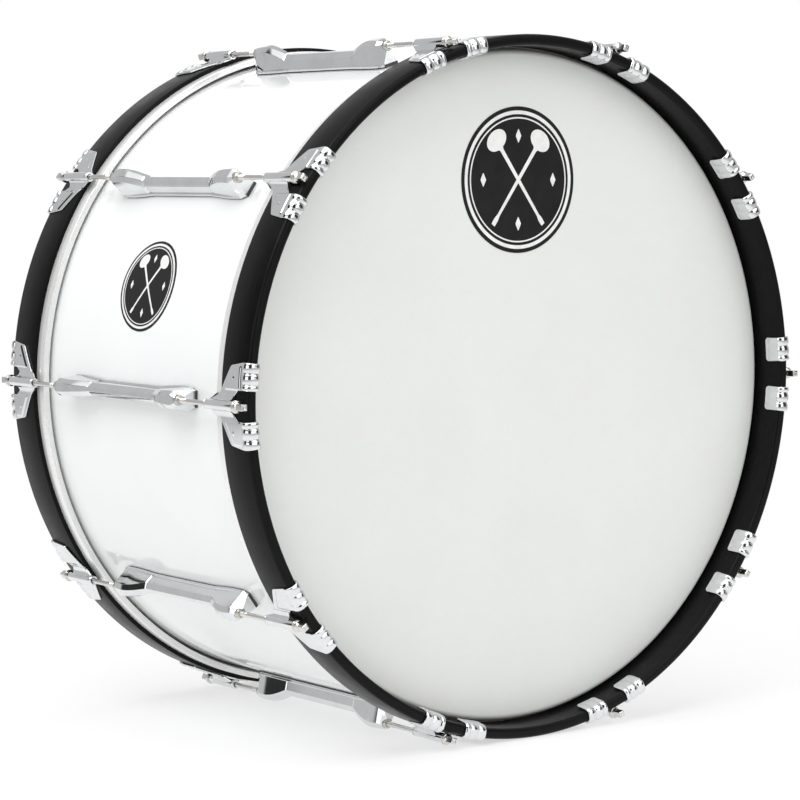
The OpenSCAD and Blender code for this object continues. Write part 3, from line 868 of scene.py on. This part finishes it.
def nut():
    """A swivel nut's round nose in the lug's bore, with a chamfer and a step, over its flange."""
    nose = spans("swivel_nuts")[1][1]
    profile = [
        (2.85, 92.6), (5.2, 92.6), (5.3, 92.7), (5.3, 97.8), (5.2, 97.9), (4.85, 97.9), (4.85, nose - 1.6),
        (4.6, nose - 1.2), (4.0, nose - 1.0), (3.9, nose - 0.3), (3.6, nose), (3.1, nose), (2.85, nose - 0.3),
    ]
    points, faces = rod_lathe(profile, 40)
    return joined((points, faces), (points * [1, -1, 1], [f[::-1] for f in faces]))


made = new_mesh("nuts", *around(nut(), False), "nut_brass", 28)
new_piece("fine_swivel_nuts", made, "drum_shell", None, ["swivel_nuts"])

lug = lug_mesh()
for i in range(LUGS):
    new_piece(f"cast_lug_{i + 1:02d}", lug, "drum_shell", lug_matrix(i), [f"lug_{i + 1:02d}"])


# ---- hoops, flesh hoops, heads and covering ----

HOOP_IN_R = HOOP_OUT_R - HOOP_T
FLESH_R_IN, FLESH_R_OUT = WRAP_R + 3.2, WRAP_R + 9.5


def mirrored(part, front):
    points, faces = part
    if not front:
        return points, faces
    return np.asarray(points) * [1, -1, 1], [f[::-1] for f in faces]


def hoop_profile():
    """Section of a wooden hoop: a broken back edge, and a small step where each wall meets its rounding."""
    step = 0.14
    r = NOSE_R - step
    return np.vstack([
        arc(HOOP_IN_R + 0.5, HOOP_BACK_Y + 0.5, 0.5, -180, -90, 3),
        arc(HOOP_OUT_R - 0.6, HOOP_BACK_Y + 0.6, 0.6, -90, 0, 3),
        [(HOOP_OUT_R, NOSE_Y - 0.25), (HOOP_OUT_R - step, NOSE_Y + 0.15)],
        arc(HOOP_OUT_R - step - r, HOOP_FRONT_Y - r, r, 8, 90, 9),
        arc(HOOP_IN_R + step + r, HOOP_FRONT_Y - r, r, 90, 172, 9),
        [(HOOP_IN_R + step, NOSE_Y + 0.15), (HOOP_IN_R, NOSE_Y - 0.25)],
    ])


def flesh_profile():
    low = FLESH_LOW_Y
    top = HOOP_BACK_Y - 0.05
    return np.vstack([
        arc(FLESH_R_IN + 0.4, low + 0.4, 0.4, 180, 270, 3), arc(FLESH_R_OUT - 0.8, low + 0.8, 0.8, -90, 0, 4),
        [(FLESH_R_OUT, top - 0.2), (FLESH_R_OUT - 0.2, top)],
        [(FLESH_R_OUT - 0.8, top), (FLESH_R_OUT - 1, top - 0.2)],
        [(FLESH_R_OUT - 1, low + 1.7), (FLESH_R_OUT - 1.2, low + 1.5), (FLESH_R_IN + 1.2, low + 1.5)],
        [(FLESH_R_IN + 1, low + 1.7), (FLESH_R_IN + 1, low + 4.0), (FLESH_R_IN + 0.9, low + 4.1)],
        [(FLESH_R_IN + 0.1, low + 4.1), (FLESH_R_IN, low + 4.0)],
    ])


def film_profile(offset):
    """One side of the film: flat over the shell, round over its edge and down into the flesh hoop."""
    edge_r, edge_y = WRAP_R - 5.5, FILM_Y - 0.4 - 5
    end_y = FLESH_LOW_Y + 8.7
    flat = [(r, FILM_Y - 0.35 + offset) for r in (0.05, 60, 120, 180, 230, 270, 300, 312, 318)]
    bend = arc(edge_r, edge_y, 5.05 + offset, 90, 28, 12)
    turn = [(WRAP_R + 0.8 + offset, edge_y - 0.7), (WRAP_R + 1.15 + offset, end_y + 4.2),
            (WRAP_R + 1.8 + offset, end_y + 1.75 + offset / 2), (WRAP_R + 6.0, end_y + offset)]
    return np.vstack([flat, bend, turn])


for side_name in ("front", "rear"):
    is_front = side_name == "front"
    hoop_shape = mirrored(lathe(hoop_profile(), 360), is_front)
    hoop = new_mesh(f"{side_name}_hoop_mesh", *hoop_shape, "hoop_black", 30)
    new_piece(f"{side_name}_wooden_hoop", hoop, f"{side_name}_rim", None, [f"{side_name}_hoop"])
    flesh_shape = mirrored(lathe(flesh_profile(), 360), is_front)
    flesh = new_mesh(f"{side_name}_flesh_mesh", *flesh_shape, "flesh_aluminium", 30)
    new_piece(f"{side_name}_metal_flesh_hoop", flesh, f"{side_name}_rim", None,
              [f"{side_name}_flesh_hoop"])
    skin = lathe(np.vstack([film_profile(0), film_profile(0.35)[::-1]]), 240)
    film = new_mesh(f"{side_name}_film_mesh", *mirrored(skin, is_front), "film_white", 40)
    head = new_piece(f"{side_name}_drumhead", film, None, None, [f"{side_name}_film"])
    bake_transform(head)


def covering():
    """The shell's glossy covering, cut through at the air vent."""
    low, high = WRAP_R - 0.5, WRAP_R
    ys = np.linspace(-WRAP_Y, WRAP_Y, 9)
    profile = [(high, y) for y in ys] + [(low, y) for y in ys[::-1]]
    blank = new_mesh("covering_blank", *lathe(profile, 360), "wrap_white")
    sheet_obj = bpy.data.objects.new("covering_blank", blank)
    bore = bpy.data.objects.new("vent_tool", new_mesh("vent_tool", *lathe(
        [(0.02, 300), (6.35, 300), (6.35, 340), (0.02, 340)], 48), "wrap_white"))
    grommet = spans("vent_grommet")
    x, z = (grommet[0][0] + grommet[1][0]) / 2, (grommet[0][2] + grommet[1][2]) / 2
    bore.matrix_world = Matrix.Rotation(-math.atan2(z, x), 4, "Y") @ Matrix.Rotation(-math.pi / 2, 4, "Z")
    for o in (sheet_obj, bore):
        bpy.context.scene.collection.objects.link(o)
    cut = sheet_obj.modifiers.new("vent", "BOOLEAN")
    cut.operation, cut.solver, cut.object = "DIFFERENCE", "EXACT", bore
    bpy.context.view_layer.update()
    bored = bpy.data.meshes.new_from_object(sheet_obj.evaluated_get(bpy.context.evaluated_depsgraph_get()))
    points = np.array([v.co[:] for v in bored.vertices]) / MM
    faces = [list(p.vertices) for p in bored.polygons]
    for o in (sheet_obj, bore):
        bpy.data.objects.remove(o)
    return new_mesh("covering", points, faces, "wrap_white", 35)


new_piece("glossy_covering", covering(), "drum_shell", None, ["shell_wrap"])


# ---- printed emblems: a white ring and crossed mallets on each black roundel ----

PRINT_T = 0.1


def strip(r0, r1, shape, steps=120):
    """A flat ring between two radii."""
    a = np.linspace(0, 2 * math.pi, steps, endpoint=False)
    rows = [shape(r * np.cos(a), r * np.sin(a), np.full(steps, h))
            for r, h in ((r0, 0.0), (r1, 0.0), (r1, PRINT_T), (r0, PRINT_T))]
    points = np.vstack(rows)
    faces = []
    for j in range(4):
        k = (j + 1) % 4
        for i in range(steps):
            n = (i + 1) % steps
            faces.append([j * steps + i, j * steps + n, k * steps + n, k * steps + i])
    return points, faces


def mallet_outline(size):
    """A bass drum mallet seen from the side, head up, as a closed outline."""
    round_head = np.linspace(math.radians(166), math.radians(-166), 41)
    head = [(0.185 * math.sin(t), 0.66 + 0.135 * math.cos(t)) for t in round_head]
    handle = [(-0.030, 0.50), (-0.022, -0.60), (-0.036, -0.66), (-0.034, -0.76),
              (0.034, -0.76), (0.036, -0.66),
              (0.022, -0.60), (0.030, 0.50)]
    return np.array(head + handle) * size


def turned(outline, degrees):
    a = math.radians(degrees)
    return outline @ np.array([[math.cos(a), math.sin(a)], [-math.sin(a), math.cos(a)]])


def diamond(x, y, half_wide, half_high):
    return np.array([(x + half_wide, y), (x, y + half_high), (x - half_wide, y), (x, y - half_high)])


def print_parts(radius, shape, spacing):
    parts = [strip(0.895 * radius, 0.945 * radius, shape), strip(0.835 * radius, 0.855 * radius, shape)]
    solids = [turned(mallet_outline(radius), lean) for lean in (-36, 36)]
    solids += [diamond(x * radius, y * radius, 0.05 * radius, 0.10 * radius)
               for x, y in ((0, 0.60), (0, -0.60), (0.62, 0), (-0.62, 0))]
    for k, outline in enumerate(solids):
        lift = PRINT_T * 0.5 * (k == 1)
        parts.append(sheet(outline, PRINT_T, 0.03, spacing, lambda u, s, h, lift=lift: shape(u, s, h + lift)))
    return joined(*parts)


head_low, head_high = spans("head_emblem")
HEAD_R = (head_high[0] - head_low[0]) / 2
HEAD_X, HEAD_Z = (head_high[0] + head_low[0]) / 2, (head_high[2] + head_low[2]) / 2


def on_head(a, b, h):
    return np.stack([HEAD_X + a, head_low[1] - 0.02 - h, HEAD_Z + b], 1)


badge_low, badge_high = spans("shell_emblem")
BADGE_R = (badge_high[1] - badge_low[1]) / 2
BADGE_ANGLE = math.atan2((badge_low[2] + badge_high[2]) / 2, (badge_low[0] + badge_high[0]) / 2)


def on_shell(a, b, h):
    r = WRAP_R + 0.37 + h
    turn = BADGE_ANGLE - b / WRAP_R
    return np.stack([r * np.cos(turn), -a, r * np.sin(turn)], 1)


for name, radius, shape, spacing in (("head", HEAD_R, on_head, 1.6), ("shell", BADGE_R, on_shell, 1.2)):
    made = new_mesh(f"{name}_print_mesh", *print_parts(radius, shape, spacing), "print_white", 40)
    new_piece(f"{name}_emblem_print", made, "drum_shell")


# ---- stage, light and camera ----

def plane_mesh(name, half, z):
    mesh = bpy.data.meshes.new(name)
    corners = [(-half, -half, z), (half, -half, z), (half, half, z), (-half, half, z)]
    mesh.from_pydata(corners, [], [(0, 1, 2, 3)])
    obj = bpy.data.objects.new(name, mesh)
    bpy.context.scene.collection.objects.link(obj)
    return obj


floor = plane_mesh("floor", 12.0, CAD_BOX[0][2])


def floor_white():
    """Matt white near the drum, fading to an evenly lit white further out."""
    n = Nodes("floor_white")
    coords = n.add("ShaderNodeTexCoord")
    flat = n.add("ShaderNodeVectorMath", operation="LENGTH")
    n.put(flat.inputs[0], coords.outputs["Object"])
    grain = n.noise(coords.outputs["Object"], 40, 3)
    n.set(base_color=n.mix(grain, (0.93, 0.93, 0.93), (0.95, 0.95, 0.95)), roughness=0.55,
          specular_ior_level=0.2)
    glow = n.add("ShaderNodeEmission")
    path = n.add("ShaderNodeLightPath")
    far = n.span(flat.outputs["Value"], 1.2, 2.4, 0.0, 0.44)
    dimmed = n.math("MULTIPLY", path.outputs["Is Glossy Ray"], far)
    n.put(glow.inputs["Strength"], n.math("SUBTRACT", 1.0, dimmed))
    blend = n.add("ShaderNodeMixShader")
    n.put(blend.inputs[0], n.span(flat.outputs["Value"], 0.45, 1.05, 0.60, 1.0))
    n.tree.links.new(n.shader.outputs[0], blend.inputs[1])
    n.tree.links.new(glow.outputs[0], blend.inputs[2])
    n.tree.links.new(blend.outputs[0], n.tree.nodes["Material Output"].inputs["Surface"])
    return n.mat


floor.data.materials.append(floor_white())

scene = bpy.context.scene
scene.view_settings.view_transform = "Standard"
scene.view_settings.look = "None"


def direction(azimuth, elevation):
    a, e = math.radians(azimuth), math.radians(elevation)
    return Vector((math.sin(a) * math.cos(e), -math.cos(a) * math.cos(e), math.sin(e)))


def studio_world():
    """White to the camera. Mirrors see a pale room with dark gaps and bright panels."""
    world = bpy.data.worlds.new("studio")
    scene.world = world
    world.use_nodes = True
    tree = world.node_tree
    n = Nodes.__new__(Nodes)
    n.tree = tree
    coords = n.add("ShaderNodeTexCoord")
    ray = coords.outputs["Generated"]

    def dot(axis):
        node = n.add("ShaderNodeVectorMath", operation="DOT_PRODUCT")
        n.put(node.inputs[0], ray)
        node.inputs[1].default_value = axis
        return node.outputs["Value"]

    def soft(value, low, high):
        node = n.add("ShaderNodeMapRange", interpolation_type="SMOOTHSTEP")
        for socket, v in zip(node.inputs, (value, low, high, 0.0, 1.0)):
            n.put(socket, v)
        return node.outputs[0]

    def panel(azimuth, elevation, half_wide, half_high, blur=0.06):
        """1 inside a rectangle seen in that direction, in tangents of its half angles."""
        ahead = direction(azimuth, elevation)
        right = Vector((0, 0, 1)).cross(ahead).normalized()
        up = ahead.cross(right)
        depth = n.math("MAXIMUM", dot(ahead), 0.001)
        x = n.math("ABSOLUTE", n.math("DIVIDE", dot(right), depth))
        y = n.math("ABSOLUTE", n.math("DIVIDE", dot(up), depth))
        across = soft(x, half_wide + blur, half_wide - blur)
        upright = soft(y, half_high + blur, half_high - blur)
        inside = n.math("MULTIPLY", across, upright)
        return n.math("MULTIPLY", inside, soft(dot(ahead), 0.0, 0.05))

    base = ROOM_MIRRORED
    for azimuth, elevation, wide, high, value in PANELS:
        mask = panel(azimuth, elevation, wide, high)
        kept = n.math("MULTIPLY", base, n.math("SUBTRACT", 1.0, mask))
        base = n.math("ADD", kept, n.math("MULTIPLY", mask, value))
    path = n.add("ShaderNodeLightPath")
    mirror = n.math("ADD", n.math("MULTIPLY", base, path.outputs["Is Glossy Ray"]),
                    n.math("MULTIPLY", n.math("SUBTRACT", 1.0, path.outputs["Is Glossy Ray"]), ROOM_LIGHT))
    seen = n.math("ADD", n.math("MULTIPLY", mirror, n.math("SUBTRACT", 1.0, path.outputs["Is Camera Ray"])),
                  path.outputs["Is Camera Ray"])
    background = tree.nodes["Background"]
    n.put(background.inputs["Color"], seen)


# Brightness of the room where it lights the drum, and where a glossy surface mirrors it
ROOM_LIGHT = 0.80
ROOM_MIRRORED = 0.58
PANELS = [
    # azimuth, elevation, half width, half height (tangents), brightness
    (150, -5, 0.33, 0.60, 1.00),
    (-120, 4, 0.35, 0.72, 0.03),
    (-75, 4, 0.60, 0.75, 0.03),
    (-26, 3, 0.46, 0.66, 0.03),
    (13, 3, 0.52, 0.75, 0.03),
    (50, 2, 0.25, 0.75, 0.05),
    (-77, 4, 0.43, 0.40, 1.35),
    (13, 3, 0.42, 0.38, 1.35),
    (-65, 64, 1.00, 0.36, 1.10),
]
studio_world()


def area_light(name, azimuth, elevation, distance, size, power, colour=(1, 1, 1)):
    data = bpy.data.lights.new(name, "AREA")
    data.shape = "RECTANGLE"
    data.size, data.size_y = size
    data.energy = power
    data.color = colour
    obj = bpy.data.objects.new(name, data)
    scene.collection.objects.link(obj)
    back = direction(azimuth, elevation)
    obj.location = back * distance
    obj.rotation_mode = "QUATERNION"
    obj.rotation_quaternion = back.to_track_quat("Z", "Y")
    obj.visible_camera = False
    return obj


area_light("key_light", -75, 48, 3.2, (2.2, 1.6), 40)
area_light("fill_light", 20, 35, 3.5, (2.5, 2.0), 22)
area_light("top_light", 0, 88, 3.0, (3.0, 3.0), 30)

camera_data = bpy.data.cameras.new("camera")
camera_data.lens = 124.56
camera_data.sensor_width = 36.0
camera_data.clip_end = 60
camera = bpy.data.objects.new("camera", camera_data)
scene.collection.objects.link(camera)
camera.location = (-1.7373, -2.2450, 0.2080)
camera.rotation_mode = "QUATERNION"
camera.rotation_quaternion = direction(-37.615, 4.676).to_track_quat("Z", "Y")
scene.camera = camera
